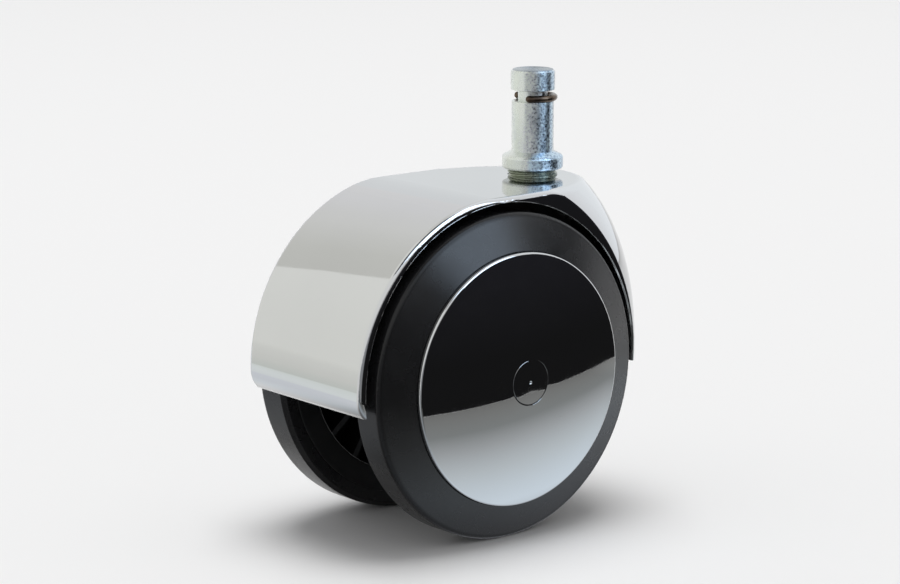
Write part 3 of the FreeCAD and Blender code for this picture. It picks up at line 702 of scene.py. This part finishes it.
@dataclass(frozen=True)
class EdgeBead:
    """A fine bead along an edge that runs round the axle. Sizes in mm and degrees."""

    edge_r: float
    edge_y: float
    bead_r: float
    first: float = 0.0
    last: float = 360.0
    waver: float = 0.0
    segments: int = 480
    around: int = 8

    def make(self, name: str, side: Side) -> bpy.types.Object:
        """Build the bead on one side.

        It is a tube round an arc about the axle. Its radius is bead_r times a share that wavers as
        the sum of two sines of the angle, held between a fifth and one. A bead that doesn't close
        on itself runs out at both ends.

        Args:
            name: the piece's name, to which the side is added.
            side: the side that it is on.

        Returns:
            The bead.
        """
        closed = self.last - self.first >= 360
        part = np.linspace(0, 1, self.segments, endpoint=not closed)
        angle = np.radians(self.first + (self.last - self.first) * part)
        share = 1 + self.waver * (np.sin(23 * angle) + 0.9 * np.sin(57 * angle + 0.7) - 0.1)
        share = np.clip(share, 0.2, 1.0)
        if not closed:
            share = share * np.clip(np.minimum(part, 1 - part) * 60, 0.02, 1)
        turn = side.sign * np.linspace(0, 2 * math.pi, self.around, endpoint=False)[:, None]
        radius = self.edge_r + self.bead_r * share * np.cos(turn)
        y = side.sign * self.edge_y + self.bead_r * share * np.sin(turn)
        points = np.stack([
            AXLE_CENTRE[0] + radius * MM * np.cos(angle), y * MM,
            AXLE_CENTRE[2] + radius * MM * np.sin(angle),
        ], axis=-1)
        return grid_piece(f"{name}_{side}", points, (True, closed))


@dataclass
class StemGroup:
    """The stem and its bearing: zinc-plated turned parts, grip ring, bushes and clip."""

    NODES: ClassVar[dict[str, str]] = {
        "stem": "zinc_steel",
        "grip_ring": "dark_spring_steel",
        "stem_washer": "zinc_steel",
        "stem_clip": "dark_spring_steel",
        "lower_bush": "white_bearing_plastic",
    }
    threaded_bush: ThreadedBush = field(default_factory=ThreadedBush)

    def build(self, nodes: dict[str, bpy.types.Object], shop: FinishShop) -> None:
        """Dress the turned parts and add the threaded bush.

        Args:
            nodes: the CAD nodes by name.
            shop: the finishes.
        """
        shop.dress_nodes(nodes, self.NODES)
        self.add_bush(shop)

    def add_bush(self, shop: FinishShop) -> None:
        """Put the threaded bush in the plain one's place.

        Args:
            shop: the finishes.
        """
        bush = self.threaded_bush.make()
        shop.dress(bush, "olive_zinc")
        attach(bush, "swivel_body")
        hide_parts("swivel_bush")


@dataclass
class HoodGroup:
    """The chrome hood with its opening beads, its frame and screws."""

    NODES: ClassVar[dict[str, str]] = {
        "hood": "hood_chrome",
        "frame": "black_nylon",
        "hood_screws": "zinc_steel",
    }
    opening_bead: EdgeBead = EdgeBead(edge_r=42.22, edge_y=21.86, bead_r=0.125, first=-2.8,
                                      last=185.0, waver=0.45)

    def build(self, nodes: dict[str, bpy.types.Object], shop: FinishShop) -> None:
        """Dress the hood, frame and screws and add the beads.

        Args:
            nodes: the CAD nodes by name.
            shop: the finishes.
        """
        shop.dress_nodes(nodes, self.NODES)
        for side in Side:
            self.add_bead(side, shop)

    def add_bead(self, side: Side, shop: FinishShop) -> None:
        """Add the bead of plating along one wheel opening.

        Args:
            side: the opening's side.
            shop: the finishes.
        """
        bead = self.opening_bead.make("opening_bead", side)
        shop.dress(bead, "hood_chrome")
        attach(bead, "swivel_body")


@dataclass
class WheelGroup:
    """Both wheels and the axle: hubs, tyres, caps, bearings, washers and clips."""

    PAIRED: ClassVar[dict[str, str]] = {
        "hub": "black_nylon",
        "tyre": "tyre_black",
        "cap": "cap_chrome",
        "wheel_bush": "white_bearing_plastic",
        "inner_washer": "zinc_steel",
        "outer_washer": "zinc_steel",
        "axle_clip": "dark_spring_steel",
    }
    hub_bead: EdgeBead = EdgeBead(edge_r=30.5, edge_y=13.98, bead_r=0.14)

    def build(self, nodes: dict[str, bpy.types.Object], shop: FinishShop) -> None:
        """Dress the axle and every wheel piece on both sides, and add the hubs' edge beads.

        Args:
            nodes: the CAD nodes by name.
            shop: the finishes.
        """
        shop.dress(nodes["axle"], "axle_steel")
        for side in Side:
            slots = {f"{piece}_{side}": slot for piece, slot in self.PAIRED.items()}
            shop.dress_nodes(nodes, slots)
            self.add_bead(side, shop)

    def add_bead(self, side: Side, shop: FinishShop) -> None:
        """Add the glossy bead along one hub's inner edge.

        Args:
            side: the wheel's side.
            shop: the finishes.
        """
        bead = self.hub_bead.make("hub_edge_bead", side)
        shop.dress(bead, "gloss_nylon")
        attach(bead, f"wheel_{side}")


@dataclass(frozen=True)
class SoftLamp:
    """A square soft lamp that lights the set and isn't mirrored. Sizes in mm, power in watts."""

    name: str
    at: tuple[float, float, float]
    size: float
    power: float

    def place(self, target: tuple[float, float, float]) -> None:
        """Add the lamp to the scene.

        Args:
            target: the point in mm that it is turned to.
        """
        data = bpy.data.lights.new(self.name, "AREA")
        data.shape = "SQUARE"
        data.size = self.size * MM
        data.energy = self.power
        lamp = bpy.data.objects.new(self.name, data)
        lamp.location = Vector(self.at) * MM
        aim = Vector(target) * MM - lamp.location
        lamp.rotation_euler = aim.to_track_quat("-Z", "Y").to_euler()
        lamp.visible_glossy = False
        bpy.context.scene.collection.objects.link(lamp)


@dataclass
class Studio:
    """Pale floor, soft light, the cards that the chrome mirrors, and the camera. Sizes in mm."""

    floor_z: float = -89.55
    floor_half: float = 6000.0
    floor_pale: float = 0.86
    floor_light: float = 0.887
    camera_at: tuple[float, float, float] = (-485.81, -557.18, 116.13)
    camera_right: tuple[float, float, float] = (0.77170, -0.63598, 0.0)
    camera_up: tuple[float, float, float] = (0.12832, 0.15571, 0.97943)
    camera_back: tuple[float, float, float] = (-0.62290, -0.75583, 0.20177)
    lens: float = 120.0
    sky: float = 0.45
    dome_r: float = 5000.0
    card_lift: float = 0.2
    edge_y: float = -139.0
    edge_bend: float = 0.0014
    edge_straight_to_x: float = 12.0
    table_falloff: float = 100.0
    table_left_x: float = -1400.0
    table_right_x: float = 262.0
    table_near_y: float = -20.0
    flag_pale: float = 0.92
    lip_x: float = -72.0
    rear_left_x: float = -5000.0
    rear_step_x: float = -216.0
    rear_right_x: float = -30.0
    rear_depth: float = 7000.0
    box_distance: float = 800.0
    box_top: float = 60.0
    shade_top: float = 94.0
    shade_dark: float = 0.08
    shade_pale: float = 0.96
    ceiling_z: float = 300.0
    ceiling_edge: tuple[tuple[float, float], ...] = ((-326.0, 557.0), (-240.0, 422.0))
    lamps: tuple[SoftLamp, ...] = (
        SoftLamp("soft_top", (300, 400, 4000), 2600, 110.0),
        SoftLamp("soft_left", (-2200, 600, 1400), 1800, 2.0),
    )
    lamp_target: tuple[float, float, float] = (-20, 0, -40)

    def build(self) -> None:
        """Set up floor, sky, cards, lights and camera."""
        self.floor()
        self.surroundings()
        self.sky_dome()
        self.front_flag()
        self.front_sheet()
        self.rear_sheet()
        self.front_softbox()
        self.box_shade()
        self.overhead_card()
        for lamp in self.lamps:
            lamp.place(self.lamp_target)
        self.camera()

    def mirrored_card(self, name: str, points: np.ndarray, light: np.ndarray) -> None:
        """A card of the set that only reflections show, with its own light at each grid point.

        Args:
            name: its name.
            points: grid of points in mm, rows x columns x 3.
            light: radiance at the points, broadcast to the same shape.
        """
        card = grid_piece(name, points * MM, (False, False))
        colours = np.ones((points.shape[0] * points.shape[1], 4))
        colours[:, :3] = np.broadcast_to(light, points.shape).reshape(-1, 3)
        layer = card.data.color_attributes.new("light", "FLOAT_COLOR", "POINT")
        layer.data.foreach_set("color", colours.ravel())
        card.data.materials.append(self.light_material())
        card.visible_camera = False
        card.visible_diffuse = False
        card.visible_shadow = False
        card.visible_transmission = False
        card.visible_volume_scatter = False
        LOG.info("card %s set", name)

    def light_material(self) -> bpy.types.Material:
        """The cards' material: it shines with the light stored at each point of the mesh.

        Returns:
            The one material that all the cards share.
        """
        name = "card_light"
        if name in bpy.data.materials:
            return bpy.data.materials[name]
        material = bpy.data.materials.new(name)
        material.use_nodes = True
        nodes = material.node_tree.nodes
        nodes.remove(nodes["Principled BSDF"])
        stored = nodes.new("ShaderNodeAttribute")
        stored.attribute_name = "light"
        shine = nodes.new("ShaderNodeEmission")
        material.node_tree.links.new(stored.outputs["Color"], shine.inputs["Color"])
        material.node_tree.links.new(shine.outputs[0], nodes["Material Output"].inputs["Surface"])
        return material

    def floor(self) -> None:
        """A plain pale floor, with a very faint unevenness so that it isn't one flat colour."""
        half = self.floor_half
        side = np.linspace(-half, half, 3)
        x, y = np.meshgrid(side, side)
        points = np.stack([x, y, np.full_like(x, self.floor_z)], axis=-1)
        sheet = MaterialSheet("pale_floor")
        sheet.set(Roughness=1.0, **{"Specular IOR Level": 0.0})
        drift = sheet.noise(0.8, 2.0)
        sheet.feed("Base Color", sheet.colour_ramp(drift, [
            (0.2, (self.floor_pale - 0.003,) * 3),
            (0.8, (self.floor_pale + 0.003,) * 3),
        ]))
        floor = grid_piece("studio_floor", points * MM, (False, False))
        floor.data.materials.append(sheet.material)

    def surroundings(self) -> None:
        """An even pale surrounding light."""
        world = bpy.data.worlds.new("studio_surround")
        world.use_nodes = True
        back = world.node_tree.nodes["Background"]
        back.inputs["Color"].default_value = (self.sky, self.sky, self.sky * 1.005, 1)
        back.inputs["Strength"].default_value = 1.0
        bpy.context.scene.world = world

    def sky_points(self, azimuth: np.ndarray, height: np.ndarray, distance: float) -> np.ndarray:
        """Points at an azimuth and an elevation, in degrees, as seen from the castor.

        Args:
            azimuth: from +X towards +Y.
            height: elevation above the horizon.
            distance: how far off, in mm.

        Returns:
            The points in mm, with one more axis than the angles.
        """
        across, up = np.radians(azimuth), np.radians(height)
        return distance * np.stack([
            np.cos(up) * np.cos(across), np.cos(up) * np.sin(across), np.sin(up)
        ], axis=-1)

    def sky_dome(self) -> None:
        """The room as the chrome mirrors it: bright to the right, a little warm at the left."""
        azimuth, height = np.meshgrid(np.linspace(-180, 180, 73), np.linspace(-1, 90, 24))
        around = shades(azimuth, [
            (-180, (0.92, 0.93, 0.92)),
            (-30, (0.94, 0.96, 0.98)),
            (-12, (1.03, 1.05, 1.08)),
            (10, (1.09, 1.13, 1.17)),
            (35, (1.04, 1.08, 1.11)),
            (50, (0.86, 0.89, 0.905)),
            (70, (0.92, 0.93, 0.95)),
            (105, (1.00, 1.005, 0.97)),
            (130, (0.98, 0.985, 0.94)),
            (180, (0.92, 0.93, 0.92)),
        ])
        upward = along(height, [(-1, 0.965), (12, 0.975), (30, 1.0), (90, 0.97)])
        points = self.sky_points(azimuth, height, self.dome_r)
        self.mirrored_card("sky_dome", points, around * upward[..., None])

    def front_edge(self, x: np.ndarray) -> np.ndarray:
        """Where the table's front edge runs: straight at the left, then a parabola that bends in.

        Its y is edge_y + edge_bend * (x - edge_straight_to_x) squared, past that x.

        Args:
            x: places along the edge in mm.

        Returns:
            The edge's y there in mm.
        """
        return self.edge_y + self.edge_bend * np.maximum(x - self.edge_straight_to_x, 0) ** 2

    def table_columns(self, left: int, right: int) -> np.ndarray:
        """Places along the table's front in mm, coarse at the left and fine before the castor.

        Args:
            left: how many before x = -130.
            right: how many from x = -125 on.

        Returns:
            The places along X.
        """
        return np.concatenate([
            np.linspace(self.table_left_x, -130, left),
            np.linspace(-125, self.table_right_x, right),
        ])

    def front_flag(self) -> None:
        """A dark flag on the table's front edge: low before the soft box, high at the left.

        Its high left part pales towards the top, so it mirrors without a hard edge, and so do its
        far left and its right end.
        """
        x = self.table_columns(40, 130)
        top = along(x, [
            (-120, 130), (-60, 60), (-30, 40), (-12, 8), (72, 8), (92, 50), (190, 50), (260, -80)
        ])
        x, share = np.meshgrid(x, np.linspace(0, 1, 25))
        foot = self.floor_z + self.card_lift + 0.1
        z = foot + (top - foot) * share
        points = np.stack([x, self.front_edge(x), z], axis=-1)
        dark = shades(z, [(-60, (0.011, 0.011, 0.0115)), (5, (0.017, 0.017, 0.021))])
        ends = shades(x, [
            (-138, (0.29, 0.30, 0.315)),
            (-104, (0.0, 0.0, 0.0)),
            (186, (0.0, 0.0, 0.0)),
            (215, (0.80, 0.81, 0.83)),
            (250, (0.92, 0.93, 0.95)),
        ])
        rise = along(z, [(-8, 0), (48, 1)]) * along(x, [(-52, 1), (-14, 0)])
        rise = rise[..., None]
        self.mirrored_card("dark_flag", points, (dark + ends) * (1 - rise) + self.flag_pale * rise)

    def front_sheet(self) -> None:
        """The table before the castor as the chrome mirrors it, darker towards its front edge and,
        as painted shade, next to the castor.
        """
        x = self.table_columns(20, 80)
        far = self.front_edge(x)
        x, share = np.meshgrid(x, np.linspace(0, 1, 25))
        y = far + (self.table_near_y - far) * share
        points = np.stack([x, y, np.full_like(x, self.floor_z + self.card_lift)], axis=-1)
        light = shades((y - far) / self.table_falloff, [
            (0.0, (0.235, 0.235, 0.23)),
            (0.17, (0.27, 0.275, 0.27)),
            (0.40, (0.30, 0.315, 0.315)),
            (0.60, (0.50, 0.525, 0.54)),
            (0.80, (0.70, 0.76, 0.80)),
            (1.0, (0.89, 1.0, 1.1)),
            # Painted shade: nearest the castor the table falls dark again.
            (1.14, (0.48, 0.50, 0.54)),
        ])
        side = along(x, [(-75, 0.45), (-42, 1.0), (130, 1.0), (200, 1.45)])[..., None]
        own = along(x, [(-700, 0), (-300, 1), (205, 1), (260, 0)])[..., None]
        light = light * side * own + self.floor_light * (1 - own)
        self.mirrored_card("table_front", points, light)

    def rear_sheet(self) -> None:
        """The table behind as the lip mirrors it, in soft stripes, with a painted shadow of the
        castor beneath it.

        The stripes stay within the bearings from which the lip sees them; elsewhere the card is as
        pale as the floor.
        """
        step = self.rear_step_x
        x = np.concatenate([
            -np.geomspace(-self.rear_left_x, 1 - step, 40),
            np.linspace(step + 1, self.rear_right_x, 60),
        ])
        x, share = np.meshgrid(x, np.linspace(0, 1, 40))
        near = along(x, [(-70, self.table_near_y), (self.rear_right_x, 400)])
        y = near + self.rear_depth * share ** 3
        points = np.stack([x, y, np.full_like(x, self.floor_z + self.card_lift)], axis=-1)
        light = shades(x, [
            (self.rear_left_x, (0.955, 0.96, 0.91)),
            (-1280, (0.92, 0.925, 0.88)),
            (-463, (0.865, 0.87, 0.83)),
            (-294, (0.83, 0.835, 0.795)),
            (step - 1, (0.75, 0.78, 0.74)),
            (step + 1, (0.88, 0.93, 0.90)),
            (-190, (0.93, 0.975, 0.975)),
            (-172, (0.87, 0.91, 0.92)),
            (-158, (0.92, 0.96, 0.98)),
            (-140, (0.84, 0.87, 0.92)),
            (-108, (0.81, 0.84, 0.89)),
            (-85, (0.85, 0.90, 0.94)),
            (-65, (0.92, 0.96, 1.00)),
            (-40, (self.floor_light,) * 3),
        ])
        bearing = np.degrees(np.arctan2(y, x - self.lip_x))
        seen = along(bearing, [(84, 0), (104, 1), (138, 1), (152, 0)])[..., None]
        light = light * seen + self.floor_light * (1 - seen)
        # Painted shadow: the card is darker beneath the castor, fading out to each side.
        from_castor = y - 0.5 * (x + 60)
        painted_castor_shadow = along(from_castor, [(0, 0.14), (20, 0.30), (45, 0.76), (70, 1.0)])[..., None]
        inside = along(x, [(step, 0), (step + 0.5, 1), (-74, 1), (-40, 0)])[..., None]
        self.mirrored_card("table_behind", points, light * (painted_castor_shadow * inside + 1 - inside))

    def front_softbox(self) -> None:
        """A cool soft box high before the castor, whose lower edge rises on the camera's side."""
        azimuth, share = np.meshgrid(np.linspace(-135, -51, 32), np.linspace(0, 1, 8))
        low = along(azimuth, [(-95, 32), (-80, 12)])
        points = self.sky_points(azimuth, low + (self.box_top - low) * share, self.box_distance)
        self.mirrored_card("front_softbox", points, shades(azimuth, [
            (-130, (1.0, 1.12, 1.3)),
            (-85, (2.3, 2.8, 3.4)),
            (-56, (2.5, 3.0, 3.65)),
        ]))

    def box_shade(self) -> None:
        """The unlit housing above the soft box, which pales into the room at its ends and top."""
        azimuth, share = np.meshgrid(np.linspace(-200, -45, 40), np.linspace(0, 1, 16))
        low = along(azimuth, [(-140, self.box_top - 10), (-132, self.box_top)])
        height = low + (self.shade_top - low) * share
        points = self.sky_points(azimuth, height, self.box_distance)
        dark = along(azimuth, [(-200, 0), (-175, 1), (-75, 1), (-45, 0)])
        dark = dark * along(height, [(self.shade_top - 8, 1), (self.shade_top, 0)])
        dark = dark[..., None]
        light = self.shade_dark * dark + self.shade_pale * (1 - dark)
        self.mirrored_card("box_shade", points, light)

    def overhead_card(self) -> None:
        """A grey ceiling card whose edge draws the soft line across the trailing band."""
        start, end = np.array(self.ceiling_edge)
        ahead = (end - start) / np.linalg.norm(end - start)
        inward = np.array([-ahead[1], ahead[0]])
        s, t = np.meshgrid(np.linspace(-900, 600, 8), np.linspace(0, 500, 26))
        xy = start + ahead * s[..., None] + inward * t[..., None]
        points = np.concatenate([xy, np.full((*s.shape, 1), self.ceiling_z)], axis=-1)
        self.mirrored_card("overhead_card", points, shades(t, [
            (0, (0.76, 0.76, 0.72)),
            (60, (0.78, 0.78, 0.74)),
            (165, (0.88, 0.88, 0.86)),
            (300, (0.90, 0.90, 0.91)),
        ]))

    def camera(self) -> None:
        """The camera fitted to the photograph."""
        data = bpy.data.cameras.new("photo_camera")
        data.sensor_width = 36.0
        data.sensor_fit = "HORIZONTAL"
        data.lens = self.lens
        data.clip_start = 0.01
        data.clip_end = 50.0
        camera = bpy.data.objects.new("photo_camera", data)
        turn = Matrix((self.camera_right, self.camera_up, self.camera_back)).transposed()
        camera.matrix_world = Matrix.Translation(Vector(self.camera_at) * MM) @ turn.to_4x4()
        bpy.context.scene.collection.objects.link(camera)
        bpy.context.scene.camera = camera
        settings = bpy.context.scene.view_settings
        settings.view_transform = "Standard"
        settings.look = "None"


def main() -> None:
    """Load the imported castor, set the studio and dress each group."""
    logging.basicConfig(level=logging.INFO, format="%(name)s: %(message)s")
    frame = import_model()
    Studio().build()
    LOG.info("studio set")
    shop = FinishShop()
    for group in (StemGroup(), HoodGroup(), WheelGroup()):
        group.build(frame["nodes"], shop)
        LOG.info("%s built", type(group).__name__)


if __name__ == "__main__":
    main()
